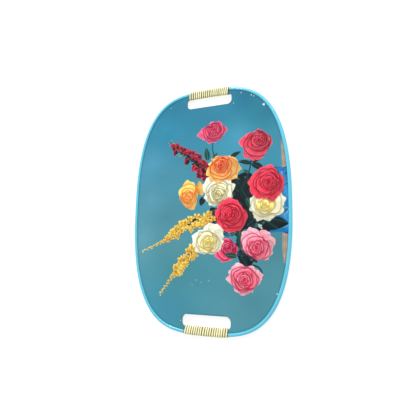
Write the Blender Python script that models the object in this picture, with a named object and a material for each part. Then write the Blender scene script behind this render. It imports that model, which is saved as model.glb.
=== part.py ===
"""A flat serving tray: a printed hardboard panel with a clipped-on round rim
moulding and two hand slots, whose outer bars are wound with flat plastic cane.

Metres, +Z up. The origin is under the tray's centre, on the surface that the
two windings rest on. The tray's long axis is X, and nothing on it moves.
"""

import math

import bmesh
import bpy
import numpy as np

# The tray's outside, to the outer face of the rim: |x/a|^p + |y/b|^q = 1.
HALF_LENGTH = 0.2355
HALF_WIDTH = 0.1575
LENGTH_POWER = 2.53
WIDTH_POWER = 3.30

# Panel: a hardboard core between a printed sheet and a backing sheet.
CORE_THICKNESS = 0.0024
SHEET_THICKNESS = 0.0003
GAP = 0.0003

# Rim moulding: a round bead with a groove that the panel's edge slides into.
BEAD_RADIUS = 0.0036
LIP_REACH = 0.0027
GROOVE_DEPTH = 0.0051
EDGE_CLEARANCE = 0.0003
BEAD_SIDES = 14

# Hand slots. The outer edge runs level with the rim and leaves a bar beside it.
BAR_DEPTH = 0.0129
SLOT_INNER_X = 0.2000
SLOT_HALF_WIDTH = 0.0470
SLOT_INNER_RADIUS = 0.0095
SLOT_OUTER_RADIUS = 0.0068

# Flat cane wound round each bar: over the rim's bead, and round the panel's
# edge in a curve whose middle lies NOSE_DEPTH inside that edge.
CANE_WIDTH = 0.0039
CANE_THICKNESS = 0.0013
CANE_FLAT_SHARE = 0.7
NOSE_DEPTH = 0.0010
WINDING_LENGTH = 0.0840
WINDING_TURNS = 19
POINTS_PER_TURN = 16
TAIL_ANGLE = math.radians(-135)

# How finely the outlines are drawn and measured.
OUTLINE_POINTS = 112
OUTLINE_SAMPLES = 8001
CORNER_POINTS = 6
SLOT_EDGE_POINTS = 7

PANEL_HALF_THICKNESS = CORE_THICKNESS / 2 + GAP + SHEET_THICKNESS
GROOVE_HALF_HEIGHT = PANEL_HALF_THICKNESS + GAP
PANEL_INSET = BEAD_RADIUS + LIP_REACH - GROOVE_DEPTH + EDGE_CLEARANCE
MID_HEIGHT = BEAD_RADIUS + GAP + CANE_THICKNESS
NOSE_OUT = BEAD_RADIUS - BAR_DEPTH + NOSE_DEPTH
BEAD_WRAP_RADIUS = BEAD_RADIUS + GAP + CANE_THICKNESS / 2
NOSE_WRAP_RADIUS = math.hypot(NOSE_DEPTH, PANEL_HALF_THICKNESS) + GAP + CANE_THICKNESS / 2


def clear_scene():
    """Remove whatever the scene holds."""
    for old in list(bpy.data.objects):
        bpy.data.objects.remove(old, do_unlink=True)


def new_collection(name):
    """Add a collection to the scene."""
    made = bpy.data.collections.new(name)
    bpy.context.scene.collection.children.link(made)
    return made


def material(name, colour, roughness):
    """Make a plain surface of one colour and roughness."""
    made = bpy.data.materials.new(name)
    made.use_nodes = True
    shader = made.node_tree.nodes["Principled BSDF"]
    shader.inputs["Base Color"].default_value = (*colour, 1.0)
    shader.inputs["Roughness"].default_value = roughness
    shader.inputs["Metallic"].default_value = 0.0
    return made


def outline_at(angle):
    """Outer outline's point and outward normal, for the formula's angle."""
    cosine = np.cos(angle)
    sine = np.sin(angle)
    x = HALF_LENGTH * np.sign(cosine) * np.abs(cosine) ** (2 / LENGTH_POWER)
    y = HALF_WIDTH * np.sign(sine) * np.abs(sine) ** (2 / WIDTH_POWER)
    steep_x = np.sign(x) * LENGTH_POWER / HALF_LENGTH
    steep_y = np.sign(y) * WIDTH_POWER / HALF_WIDTH
    normal_x = steep_x * np.abs(x / HALF_LENGTH) ** (LENGTH_POWER - 1)
    normal_y = steep_y * np.abs(y / HALF_WIDTH) ** (WIDTH_POWER - 1)
    size = np.hypot(normal_x, normal_y)
    return x, y, normal_x / size, normal_y / size


def inset_outline(inset, count, end_gap=0.0):
    """Evenly spaced points that run round the tray, inset from its outside.

    They start and end at the middle of the -X end, half of end_gap from it.
    """
    angle = np.linspace(-math.pi, math.pi, OUTLINE_SAMPLES)
    x, y, normal_x, normal_y = outline_at(angle)
    x = x - normal_x * inset
    y = y - normal_y * inset
    along = np.concatenate([[0.0], np.cumsum(np.hypot(np.diff(x), np.diff(y)))])
    stops = np.linspace(end_gap / 2, along[-1] - end_gap / 2, count)
    return [(px, py) for px, py in zip(np.interp(stops, along, x), np.interp(stops, along, y))]


def end_outline(y):
    """The +X end's outside at a given y: its point and outward normal."""
    sine = (abs(y) / HALF_WIDTH) ** (WIDTH_POWER / 2)
    return outline_at(math.copysign(math.asin(sine), y))


def arc(middle_x, middle_y, radius, start):
    """Points of a quarter circle that starts at an angle in degrees."""
    turns = [math.radians(start + 90 * step / CORNER_POINTS) for step in range(CORNER_POINTS + 1)]
    return [(middle_x + radius * math.cos(turn), middle_y + radius * math.sin(turn)) for turn in turns]


def slot_outline(side):
    """Hand slot at the +X end (side 1) or the -X end (side -1)."""
    outer_y = SLOT_HALF_WIDTH - SLOT_OUTER_RADIUS
    outer_edge = []
    for y in np.linspace(-outer_y, outer_y, SLOT_EDGE_POINTS):
        x, edge_y, normal_x, normal_y = end_outline(y)
        outer_edge.append((x - normal_x * BAR_DEPTH, edge_y - normal_y * BAR_DEPTH))
    outer_x = outer_edge[0][0] - SLOT_OUTER_RADIUS
    inner_x = SLOT_INNER_X + SLOT_INNER_RADIUS
    inner_y = SLOT_HALF_WIDTH - SLOT_INNER_RADIUS
    points = arc(inner_x, -inner_y, SLOT_INNER_RADIUS, 180)
    points += arc(outer_x, -outer_y, SLOT_OUTER_RADIUS, 270)
    points += outer_edge[1:-1]
    points += arc(outer_x, outer_y, SLOT_OUTER_RADIUS, 0)
    points += arc(inner_x, inner_y, SLOT_INNER_RADIUS, 90)
    return [(side * x, side * y) for x, y in points]


def add_poly(curve, points, cyclic):
    """Add a straight-line spline through 2D or 3D points to a curve."""
    spline = curve.splines.new("POLY")
    spline.points.add(len(points) - 1)
    for slot, point in zip(spline.points, points):
        slot.co = (point[0], point[1], point[2] if len(point) > 2 else 0.0, 1.0)
    spline.use_cyclic_u = cyclic


def place(name, data, collection, base, height, surface):
    """Make an object of the data at a height above the resting plane."""
    made = bpy.data.objects.new(name, data)
    collection.objects.link(made)
    made.parent = base
    made.location = (0.0, 0.0, height)
    if surface:
        data.materials.append(surface)
    return made


def panel_layer(name, collection, base, middle, thickness, surface):
    """One layer of the panel: the whole outline with both hand slots cut out."""
    curve = bpy.data.curves.new(name, "CURVE")
    curve.dimensions = "2D"
    curve.fill_mode = "BOTH"
    curve.extrude = thickness / 2
    add_poly(curve, inset_outline(PANEL_INSET, OUTLINE_POINTS + 1)[:-1], True)
    add_poly(curve, slot_outline(1), True)
    add_poly(curve, slot_outline(-1), True)
    return place(name, curve, collection, base, middle, surface)


def bead_profile():
    """Section of the rim moulding: a round bead with a groove on its inner side."""
    lip_angle = math.acos(-LIP_REACH / BEAD_RADIUS)
    points = []
    for step in range(BEAD_SIDES + 1):
        angle = lip_angle - 2 * lip_angle * step / BEAD_SIDES
        points.append((BEAD_RADIUS * math.cos(angle), BEAD_RADIUS * math.sin(angle)))
    groove_end = GROOVE_DEPTH - LIP_REACH
    points.append((-LIP_REACH, -GROOVE_HALF_HEIGHT))
    points.append((groove_end, -GROOVE_HALF_HEIGHT))
    points.append((groove_end, GROOVE_HALF_HEIGHT))
    points.append((-LIP_REACH, GROOVE_HALF_HEIGHT))
    return points


def rim_moulding(collection, guides, base, surface):
    """Moulding swept round the panel's edge, its two ends butted at the -X end."""
    profile = bpy.data.curves.new("rim_profile", "CURVE")
    profile.dimensions = "2D"
    add_poly(profile, bead_profile(), True)
    guide = place("rim_profile", profile, guides, base, MID_HEIGHT, None)
    guide.hide_render = True
    guide.display_type = "WIRE"

    curve = bpy.data.curves.new("rim_moulding", "CURVE")
    curve.dimensions = "3D"
    curve.twist_mode = "Z_UP"
    curve.bevel_mode = "OBJECT"
    curve.bevel_object = guide
    curve.use_fill_caps = True
    add_poly(curve, inset_outline(BEAD_RADIUS, OUTLINE_POINTS + 1, GAP), False)
    return place("rim_moulding", curve, collection, base, MID_HEIGHT, surface)


def wrap_loop():
    """One turn of the cane round the bar, in the bar's section.

    Each entry is the middle of the cane's thickness, outward from the middle
    of the bead and up, and the direction that the cane's outer face points in.
    """
    loop = []
    for step in range(POINTS_PER_TURN):
        turn = TAIL_ANGLE + 2 * math.pi * step / POINTS_PER_TURN
        facing = (math.cos(turn), math.sin(turn))
        if NOSE_OUT * facing[0] + NOSE_WRAP_RADIUS > BEAD_WRAP_RADIUS:
            middle, radius = NOSE_OUT, NOSE_WRAP_RADIUS
        else:
            middle, radius = 0.0, BEAD_WRAP_RADIUS
        loop.append((middle + radius * facing[0], radius * facing[1], facing))
    return loop


def winding_rings():
    """Sections of the cane, one after another along its way round the bar."""
    half_width = CANE_WIDTH / 2
    half_thickness = CANE_THICKNESS / 2
    flat = CANE_FLAT_SHARE * half_width
    section = (
        (half_width, 0.0), (flat, half_thickness), (-flat, half_thickness),
        (-half_width, 0.0), (-flat, -half_thickness), (flat, -half_thickness),
    )
    loop = wrap_loop()
    following = loop[1:] + loop[:1]
    lengths = [math.dist(here[:2], there[:2]) for here, there in zip(loop, following)]
    travelled = [sum(lengths[:step]) / sum(lengths) for step in range(POINTS_PER_TURN)]
    rings = []
    for step in range(WINDING_TURNS * POINTS_PER_TURN + 1):
        turn, place_in_turn = divmod(step, POINTS_PER_TURN)
        share = (turn + travelled[place_in_turn]) / WINDING_TURNS
        x, y, normal_x, normal_y = end_outline(WINDING_LENGTH * (share - 0.5))
        out, up, facing = loop[place_in_turn]
        ring = []
        for along, off in section:
            outward = out - BEAD_RADIUS + off * facing[0]
            ring.append((
                x + normal_x * outward - normal_y * along,
                y + normal_y * outward + normal_x * along,
                up + off * facing[1],
            ))
        rings.append(ring)
    return rings


def cane_windings(collection, base, surface):
    """The same winding on the bar at each end, half a turn of the tray apart.

    The cane is flat and its broad face stays on the bar as it winds, which a
    curve's own twist does not do, so its sections are joined face by face.
    """
    shape = bmesh.new()
    rings = [[shape.verts.new(point) for point in ring] for ring in winding_rings()]
    for here, there in zip(rings, rings[1:]):
        for k in range(len(here)):
            shape.faces.new((here[k - 1], here[k], there[k], there[k - 1]))
    shape.faces.new(rings[0])
    shape.faces.new(rings[-1])
    bmesh.ops.recalc_face_normals(shape, faces=shape.faces)
    mesh = bpy.data.meshes.new("handle_winding")
    shape.to_mesh(mesh)
    shape.free()
    mesh.materials.append(surface)
    mesh.shade_smooth()
    mesh.set_sharp_from_angle(angle=math.radians(40))
    place("handle_winding_right", mesh, collection, base, MID_HEIGHT, None)
    left = place("handle_winding_left", mesh, collection, base, MID_HEIGHT, None)
    left.rotation_euler = (0.0, 0.0, math.pi)


def build_tray():
    """Assemble the tray."""
    clear_scene()
    collection = new_collection("serving_tray")
    guides = new_collection("guides")
    base = bpy.data.objects.new("tray_base", None)
    collection.objects.link(base)

    hardboard = material("hardboard", (0.23, 0.13, 0.07), 0.85)
    print_ = material("printed_sheet", (0.08, 0.31, 0.42), 0.30)
    backing = material("backing_sheet", (0.30, 0.19, 0.11), 0.70)
    moulding = material("rim_plastic", (0.15, 0.55, 0.72), 0.30)
    cane = material("cane_plastic", (0.85, 0.80, 0.50), 0.35)

    sheet_middle = CORE_THICKNESS / 2 + GAP + SHEET_THICKNESS / 2
    panel_layer("board_core", collection, base, MID_HEIGHT, CORE_THICKNESS, hardboard)
    panel_layer("decor_sheet", collection, base, MID_HEIGHT + sheet_middle, SHEET_THICKNESS, print_)
    panel_layer("backing_sheet", collection, base, MID_HEIGHT - sheet_middle, SHEET_THICKNESS, backing)
    rim_moulding(collection, guides, base, moulding)
    cane_windings(collection, base, cane)


build_tray()
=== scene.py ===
"""Looks of the printed serving tray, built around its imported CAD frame.

The panel carries a printed picture, which is painted here on the points of a
fine mesh. Picture places are in millimetres as (across, along): across is -Y
and along is +X, so the picture stands upright with the +X end at the top.
"""

import math

import bpy
import numpy as np
from mathutils import Matrix, Vector, geometry


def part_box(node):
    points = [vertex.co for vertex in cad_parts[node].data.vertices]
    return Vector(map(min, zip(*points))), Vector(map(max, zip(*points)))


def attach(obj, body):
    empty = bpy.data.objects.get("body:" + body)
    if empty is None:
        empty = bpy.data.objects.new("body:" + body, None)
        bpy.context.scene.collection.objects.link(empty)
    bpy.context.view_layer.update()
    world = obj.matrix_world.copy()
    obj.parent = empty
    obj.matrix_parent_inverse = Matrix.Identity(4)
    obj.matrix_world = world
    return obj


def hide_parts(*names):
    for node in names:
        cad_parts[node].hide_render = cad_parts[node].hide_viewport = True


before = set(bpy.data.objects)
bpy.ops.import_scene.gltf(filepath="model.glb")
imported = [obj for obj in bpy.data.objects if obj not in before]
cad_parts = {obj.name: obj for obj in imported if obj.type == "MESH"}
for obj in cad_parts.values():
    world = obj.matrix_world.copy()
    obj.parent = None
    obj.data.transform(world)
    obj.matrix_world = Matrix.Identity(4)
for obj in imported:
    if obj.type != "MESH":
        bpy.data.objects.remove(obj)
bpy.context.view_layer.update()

# ---- sizes
MM = 0.001
POWERS = np.array([2.53, 3.30])  # of the outline formula, along x and y

RIM_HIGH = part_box("rim_moulding")[1]
CORE_LOW, CORE_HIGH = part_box("board_core")
TOP_LOW, TOP_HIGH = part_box("decor_sheet")
BACK_LOW, BACK_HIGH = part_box("backing_sheet")

HALF_LENGTH = RIM_HIGH.x
HALF_WIDTH = RIM_HIGH.y
HALVES = np.array([HALF_LENGTH, HALF_WIDTH])
PANEL_INSET = HALF_WIDTH - TOP_HIGH.y
MID_HEIGHT = (CORE_LOW.z + CORE_HIGH.z) / 2

BEAD_RADIUS = 3.6 * MM
LIP_REACH = 2.7 * MM
GROOVE_CLEARANCE = 0.06 * MM
GROOVE_HALF_HEIGHT = TOP_HIGH.z - MID_HEIGHT + GROOVE_CLEARANCE
GROOVE_BOTTOM = 2.4 * MM
LIP_BLUNTNESS = 0.12 * MM
RIM_WAVE = 0.05 * MM
SEAM_GAP = 0.3 * MM
LAYER_GAP = 0.02 * MM

BAR_DEPTH = 12.9 * MM
SLOT_INNER_X = 200.0 * MM
SLOT_HALF_WIDTH = 47.0 * MM
SLOT_INNER_RADIUS = 9.5 * MM
SLOT_OUTER_RADIUS = 6.8 * MM

CANE_WIDTH = 4.05 * MM
CANE_THICKNESS = 1.25 * MM
CANE_SLACK = 0.08 * MM
NOSE_DEPTH = 1.0 * MM
WINDING_TURNS = 19
WINDING_LENGTH = 84.0 * MM

# Points in the outlines and sections.
OUTLINE_SAMPLES = 16001
PANEL_POINTS = 480
EDGE_ROW_POINTS = 540
RIM_POINTS = 720
BEAD_POINTS = 30
SLOT_EDGE_POINTS = 25
SLOT_CORNER_STEPS = 10
WRAP_SAMPLES = 361
POINTS_PER_TURN = 48
CANE_SECTION_POINTS = 16
PETAL_STEPS = 4
SPIKE_STEPS = 80
SEPAL_STEPS = 34  # a spike's steps from its tip that carry sepals

# Spacing of the print's mesh, in millimetres: under the bouquet, on the plain
# ground and at small marks, then of the points and squares that find the bouquet.
PICTURE_SPACING = 0.88
GROUND_SPACING = 3.0
PATCH_SPACING = 0.5
SCOUT_SPACING = 1.5
CELL_SIZE = 3.0

# Points nearer than this, in metres, become one; smaller triangles are dropped.
MERGE_DISTANCE = 1e-7
SLIVER_AREA = 1e-14

WHOLE_TURN = 2 * math.pi
PHASE_RANGE = 6.28  # random turns are drawn between 0 and this
TINY = 1e-12

# Most values of a noise node lie between these.
NOISE_LOW = 0.3
NOISE_HIGH = 0.7

# The photo's camera, with its lens in millimetres, and the floor.
CAMERA_PLACE = (-0.10357, -0.22568, 0.61150)
CAMERA_RIGHT = Vector((0.01406, -0.93829, -0.34558))
CAMERA_UP = Vector((0.98812, -0.03985, 0.14840))
CAMERA_LENS = 29.84
FLOOR_HEIGHT = -0.2 * MM
FLOOR_SIZE = 8.0


# ---- outlines
def level(points, inset):
    """The outline formula's value: 1 on the outline moved in by the inset, less inside it."""
    return (np.abs(points / (HALVES - inset)) ** POWERS).sum(1)


def slope(points, inset=0.0):
    """How fast the level rises along x and y."""
    halves = HALVES - inset
    return np.sign(points) * POWERS / halves * np.abs(points / halves) ** (POWERS - 1)


def outline_at(angle):
    """Outer outline's points and outward normals, for the formula's angles."""
    turn = np.stack([np.cos(angle), np.sin(angle)], 1)
    points = HALVES * np.sign(turn) * np.abs(turn) ** (2 / POWERS)
    rise = slope(points)
    return points, rise / np.hypot(*rise.T)[:, None]


def along_line(points):
    """Each point's distance along the line from its first point."""
    return np.concatenate([[0.0], np.cumsum(np.hypot(*np.diff(points, axis=0).T))])


def resample(values, along, stops):
    """Rows of values, known at distances along a line, at the stops."""
    return np.stack([np.interp(stops, along, value) for value in values.T], 1)


def inset_outline(inset, count, end_gap=0.0):
    """Evenly spaced points and outward normals round the tray from its -X end."""
    edge, normal = outline_at(np.linspace(-math.pi, math.pi, OUTLINE_SAMPLES))
    edge = edge - normal * inset
    along = along_line(edge)
    stops = np.linspace(end_gap / 2, along[-1] - end_gap / 2, count)
    return resample(edge, along, stops), resample(normal, along, stops)


def end_outline(y):
    """The +X end's outside at given y's: points and outward normals."""
    sine = (np.abs(y) / HALF_WIDTH) ** (POWERS[1] / 2)
    return outline_at(np.copysign(np.arcsin(sine), y))


def slot_outline(side):
    """Hand slot at the +X end (side 1) or the -X end (side -1)."""
    outer_y = SLOT_HALF_WIDTH - SLOT_OUTER_RADIUS
    edge, normal = end_outline(np.linspace(-outer_y, outer_y, SLOT_EDGE_POINTS))
    outer_edge = edge - normal * BAR_DEPTH
    outer_x = outer_edge[0, 0] - SLOT_OUTER_RADIUS
    inner_x = SLOT_INNER_X + SLOT_INNER_RADIUS
    inner_y = SLOT_HALF_WIDTH - SLOT_INNER_RADIUS

    def arc(middle_x, middle_y, radius, start):
        turn = np.radians(start + 90 * np.arange(SLOT_CORNER_STEPS + 1) / SLOT_CORNER_STEPS)
        return np.stack([middle_x + radius * np.cos(turn), middle_y + radius * np.sin(turn)], 1)

    return side * np.vstack([
        arc(inner_x, -inner_y, SLOT_INNER_RADIUS, 180),
        arc(outer_x, -outer_y, SLOT_OUTER_RADIUS, 270),
        outer_edge[1:-1],
        arc(outer_x, outer_y, SLOT_OUTER_RADIUS, 0),
        arc(inner_x, inner_y, SLOT_INNER_RADIUS, 90),
    ])


def between(a, b, c, d, t):
    """Smooth curve's point between b and c, a share t of the way."""
    bend = (2 * a - 5 * b + 4 * c - d) * t**2
    twist = (3 * b - a - 3 * c + d) * t**3
    return (2 * b + (c - a) * t + bend + twist) / 2


def smooth_loop(corners, steps=6):
    """A closed smooth curve through the corners."""
    corners = np.asarray(corners, float)
    around = [np.roll(corners, shift, 0)[:, None] for shift in (1, 0, -1, -2)]
    t = np.linspace(0, 1, steps, endpoint=False)[None, :, None]
    return between(*around, t).reshape(-1, 2)


def smooth_line(corners, count):
    """Evenly timed points on a smooth open curve through the corners."""
    p = np.asarray(corners, float)
    p = np.vstack([2 * p[0] - p[1], p, 2 * p[-1] - p[-2]])
    place = np.linspace(0, len(p) - 3 - TINY, count)
    k = place.astype(int)
    return between(p[k], p[k + 1], p[k + 2], p[k + 3], (place - k)[:, None])


def depth_inside(points, outline):
    """Distance from each point to a closed outline, positive inside it."""
    end = np.roll(outline, -1, 0)
    edge = end - outline
    away = points[:, None] - outline[None]
    share = np.clip((away * edge).sum(2) / np.maximum((edge**2).sum(1), TINY), 0, 1)
    distance = np.sqrt(((away - share[..., None] * edge) ** 2).sum(2)).min(1)
    x, y = points[:, :1], points[:, 1:]
    spans = (outline[:, 1] > y) != (end[:, 1] > y)
    rise = np.where(np.abs(edge[:, 1]) < TINY, TINY, edge[:, 1])
    crossing = x < edge[:, 0] * (y - outline[:, 1]) / rise + outline[:, 0]
    inside = (spans & crossing).sum(1) % 2 == 1
    return np.where(inside, distance, -distance)


# ---- the printed picture
def mix(a, b, share):
    """Colour between a and b, for one share or one per point."""
    a, b, share = (np.asarray(value, float) for value in (a, b, share))
    if share.ndim:
        share = share[:, None]
    return a + (b - a) * share


def ease(low, high, value):
    """0 below low, 1 above high, smooth between."""
    t = np.clip((value - low) / (high - low), 0, 1)
    return t * t * (3 - 2 * t)


def rgb(*parts):
    """Screen colour from 0 to 255 as an array from 0 to 1."""
    return np.array(parts, float) / 255


def shades(*colours):
    """Several screen colours."""
    return [rgb(*colour) for colour in colours]


def toward(direction, length=1.0):
    """A step of some length in a direction."""
    return length * np.array([math.cos(direction), math.sin(direction)])


def sides_of(line):
    """Unit steps along a line of points, and unit vectors to its left."""
    step = np.gradient(line, axis=0)
    step /= np.hypot(step[:, 0], step[:, 1])[:, None]
    return step, np.stack([-step[:, 1], step[:, 0]], 1)


BLACK = (0.0, 0.0, 0.0)


class Picture:
    """Colours laid on a set of points, later layers over earlier ones."""

    def __init__(self, points):
        self.points = points
        self.colour = np.zeros((len(points), 3))
        self.painted = np.zeros(len(points))
        self.order = np.argsort(points[:, 0])
        self.sorted_across = points[self.order, 0]

    def near(self, outline, margin):
        """Indices of the points in the outline's box, grown by the margin."""
        low = outline.min(0) - margin
        high = outline.max(0) + margin
        first = np.searchsorted(self.sorted_across, low[0])
        last = np.searchsorted(self.sorted_across, high[0])
        picked = self.order[first:last]
        along = self.points[picked, 1]
        return picked[(along > low[1]) & (along < high[1])]

    def lay(self, outline, colour, shadow=0.0, reach=2.5, soft=0.35, strength=1.0, tint=BLACK):
        """Fill an outline. colour is one colour, or a function of points and depth.

        shadow turns what is already painted round the outline, out to reach,
        towards the tint.
        """
        picked = self.near(outline, reach + soft)
        if not len(picked):
            return
        here = self.points[picked]
        depth = depth_inside(here, outline)
        if shadow:
            dark = ease(-reach, 0.4, depth) * shadow * self.painted[picked]
            self.colour[picked] = mix(self.colour[picked], tint, dark)
        cover = ease(-soft, soft, depth) * strength
        shown = cover > 0
        fill = colour(here[shown], depth[shown]) if callable(colour) else np.asarray(colour)
        spot = picked[shown]
        self.colour[spot] = mix(self.colour[spot], fill, cover[shown])
        self.painted[spot] = np.maximum(self.painted[spot], cover[shown])


# Picture places and the ground's screen colour there.
GROUND_SPOTS = (
    ((-120, 20), (88, 152, 172)),
    ((-140, -60), (98, 160, 176)),
    ((-90, 150), (46, 132, 162)),
    ((-120, 90), (78, 150, 178)),
    ((-78, 212), (36, 120, 150)),
    ((0, 195), (42, 128, 156)),
    ((75, 212), (12, 106, 136)),
    ((115, 180), (26, 116, 138)),
    ((130, 120), (60, 140, 164)),
    ((60, 130), (68, 150, 176)),
    ((-100, 60), (70, 138, 158)),
    ((-90, -20), (74, 134, 148)),
    ((30, 0), (74, 146, 166)),
    ((130, -80), (74, 134, 144)),
    ((135, -140), (80, 142, 154)),
    ((40, -190), (80, 142, 156)),
    ((-80, -190), (66, 142, 164)),
    ((-60, -75), (80, 140, 150)),
    ((-60, -130), (68, 138, 150)),
)


def paint_ground(picture):
    """Blue studio backdrop, lighter at the left and darker at the top right."""
    points = picture.points
    total = np.zeros((len(points), 3))
    weight = np.zeros(len(points))
    for place, colour in GROUND_SPOTS:
        away = np.hypot(points[:, 0] - place[0], points[:, 1] - place[1])
        share = 1 / (away + 25) ** 3
        total += share[:, None] * rgb(*colour)
        weight += share
    a, b = points[:, 0], points[:, 1]
    mottle = 0.010 * np.sin(a / 23 + 1.3 * np.sin(b / 31)) + 0.008 * np.sin(b / 17 + a / 41)
    picture.colour = total / weight[:, None] * (1 + mottle)[:, None]


def lit(direction):
    """Brightness of a petal that points in a direction; the light is at the upper left."""
    return 1 + 0.13 * math.cos(direction - math.radians(125))


# A petal's outline: shares of its length from the base, and of its width to either side.
PETAL_PROFILE = (
    (0.02, -0.20), (0.30, -0.45), (0.62, -0.55), (0.86, -0.45), (0.97, -0.20), (1.0, 0.0),
    (0.97, 0.20), (0.86, 0.45), (0.62, 0.55), (0.30, 0.45), (0.02, 0.20),
)


def petal(picture, base, tip, width, colours, rng, shadow=0.5, lip=1.3, reach=2.6, point=1.0, tint=BLACK):
    """One petal from its base to its tip: dark at its foot, with a paler rolled lip.

    shadow, reach and tint tell what it does to the petals round it; a point of 2 is sharp.
    """
    base = np.asarray(base, float)
    tip = np.asarray(tip, float)
    length = np.hypot(*(tip - base))
    forward = (tip - base) / length
    side = np.array([-forward[1], forward[0]])
    wobble = rng.uniform(-0.035, 0.035, (len(PETAL_PROFILE), 2))
    corners = []
    for (u, v), (du, dv) in zip(PETAL_PROFILE, wobble):
        pull = (point - 1) * max(0.0, u - 0.6) / 0.4
        u = u - pull * 0.30 * abs(v) + du
        v = v * (1 - 0.45 * pull * (abs(v) < 0.5)) + dv
        corners.append(base + forward * u * length + side * v * width)
    outline = smooth_loop(corners, PETAL_STEPS)
    deep, body, edge = colours[:3]
    phase = rng.uniform(0, PHASE_RANGE, 3)
    brightness = lit(math.atan2(forward[1], forward[0])) * rng.uniform(0.95, 1.05)

    def shade(points, depth):
        rel = points - base
        u = rel @ forward / length
        v = rel @ side / width
        fold = 0.05 * np.sin(v * 9 + phase[0]) + 0.025 * np.sin(v * 23 + u * 5 + phase[1])
        colour = mix(deep, body, ease(0.05, 0.62, u + fold))
        colour = mix(colour, edge, 0.45 * ease(0.6, 1.0, u + fold - 0.5 * v * v))
        crease = ease(0.6, 1.7, depth) * ease(3.4, 1.7, depth) * ease(0.5, 0.9, u)
        colour = mix(colour, deep, 0.20 * crease)
        colour = mix(colour, edge, 0.75 * ease(lip, 0.2, depth) * ease(0.30, 0.65, u))
        return np.clip(colour * (brightness + fold * 0.5)[:, None], 0, 1)

    picture.lay(outline, shade, shadow=shadow, reach=reach, tint=tint)


def rose(picture, tips, bud, outer, heart, seed, rings=(6, 5, 5, 4, 3), full=1.45, point=1.5, deep=0.95):
    """A rose: outer petals out to the tips, then wide petals in rings that close on the bud.

    The colours turn from outer to heart inside the share deep of the petals' reach.
    rings tells how many petals each ring has, and full widens the outer petals.
    """
    rng = np.random.default_rng(seed)
    bud = np.asarray(bud, float)
    rel = np.asarray(tips, float) - bud
    angle = np.arctan2(rel[:, 1], rel[:, 0])
    reach = np.hypot(rel[:, 0], rel[:, 1])
    order = np.argsort(angle)
    angle, reach = angle[order], reach[order]
    cup = np.percentile(reach, 35)

    def colours(share):
        return [mix(a, b, share) for a, b in zip(outer, heart)]

    # A filled body first, so that no gap opens between the outer petals.
    inner = [bud + toward(a, r * 0.80) for a, r in zip(angle, reach)]
    picture.lay(smooth_loop(inner, PETAL_STEPS), outer[0])
    gaps = np.diff(np.concatenate([angle, angle[:1] + WHOLE_TURN]))
    drawn = list(range(len(angle)))
    rng.shuffle(drawn)
    for k in drawn:
        wide = min(gaps[k] + gaps[k - 1], 2.2)
        width = max(reach[k] * math.sin(wide / 2) * full, 0.6 * reach[k])
        tip = bud + toward(angle[k], reach[k] * 1.02)
        petal(picture, bud, tip, width, colours(0.0), rng, 0.42, lip=1.5, point=point, tint=outer[3])
    for ring, count in enumerate(rings):
        share = 0.80 * (1 - (ring + 0.10) / (len(rings) + 0.35))
        start = rng.uniform(0, PHASE_RANGE)
        tone = float(ease(deep, deep - 0.6, share))
        loose = max(0.0, 0.8 - 0.3 * ring)
        for k in range(count):
            direction = start + WHOLE_TURN * (k + rng.uniform(-0.28, 0.28)) / count
            edge = np.interp(direction, angle, reach, period=WHOLE_TURN)
            length = share * (loose * edge + (1 - loose) * cup) * rng.uniform(0.9, 1.1)
            half_angle = min(1.3 * math.pi / count, 1.3)
            width = 2.0 * length * math.sin(half_angle) * rng.uniform(0.88, 1.08)
            petal(
                picture, bud - toward(direction, 0.35 * length), bud + toward(direction, length), width,
                colours(tone), rng, shadow=0.72, lip=1.2 + 1.3 * share, reach=1.8 + 3.6 * share,
                point=rng.uniform(0.9, 1.9), tint=mix(outer[3], heart[3], tone),
            )
    start = rng.uniform(0, PHASE_RANGE)
    swirl = [bud + toward(start + 8.5 * t, cup * 0.13 * (1 - 0.85 * t)) for t in np.linspace(0, 1, 9)]
    ribbon(picture, swirl, [0.5, 1.1, 0.7], heart[0])


VEINS = 6.5  # on each side of a leaf


def leaf(picture, base, tip, width, colours, seed, teeth=7, bend=0.0):
    """A serrated leaf with a lighter midrib and side veins."""
    rng = np.random.default_rng(seed)
    base = np.asarray(base, float)
    tip = np.asarray(tip, float)
    length = np.hypot(*(tip - base))
    forward = (tip - base) / length
    side = np.array([-forward[1], forward[0]])
    steps = np.linspace(0, 1, teeth * 3)
    body = np.sin(math.pi * steps**0.8) ** 0.8
    tooth = 1 - 0.16 * ((np.arange(len(steps)) % 3) / 2) * (steps > 0.1)
    curve = bend * np.sin(math.pi * steps)
    half = width / 2 * body * tooth
    spine = base + forward * (steps * length)[:, None]
    upper = spine + side * (half + curve)[:, None]
    lower = spine + side * (curve - half)[:, None]
    outline = np.vstack([upper, lower[::-1]])
    deep, green, light = colours
    phase = rng.uniform(0, PHASE_RANGE)

    def shade(points, depth):
        rel = points - base
        u = rel @ forward / length
        v = rel @ side - bend * np.sin(math.pi * np.clip(u, 0, 1))
        vein = np.sin((u * length - np.abs(v) * 0.9) * WHOLE_TURN * VEINS / length + phase)
        colour = mix(deep, green, 0.45 + 0.2 * vein)
        colour = mix(colour, light, 0.7 * ease(0.7, 0.1, np.abs(v)))
        return mix(colour, light, 0.25 * ease(0.9, 0.1, depth))

    picture.lay(outline, shade, shadow=0.3, reach=2.0)


def ribbon(picture, corners, widths, colour):
    """A stem or band along a smooth line, with a width at each corner."""
    line = smooth_line(corners, 8 * len(corners))
    width = np.interp(np.linspace(0, 1, len(line)), np.linspace(0, 1, len(widths)), widths)
    half = sides_of(line)[1] * width[:, None] / 2
    picture.lay(np.vstack([line + half, (line - half)[::-1]]), colour)


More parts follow.
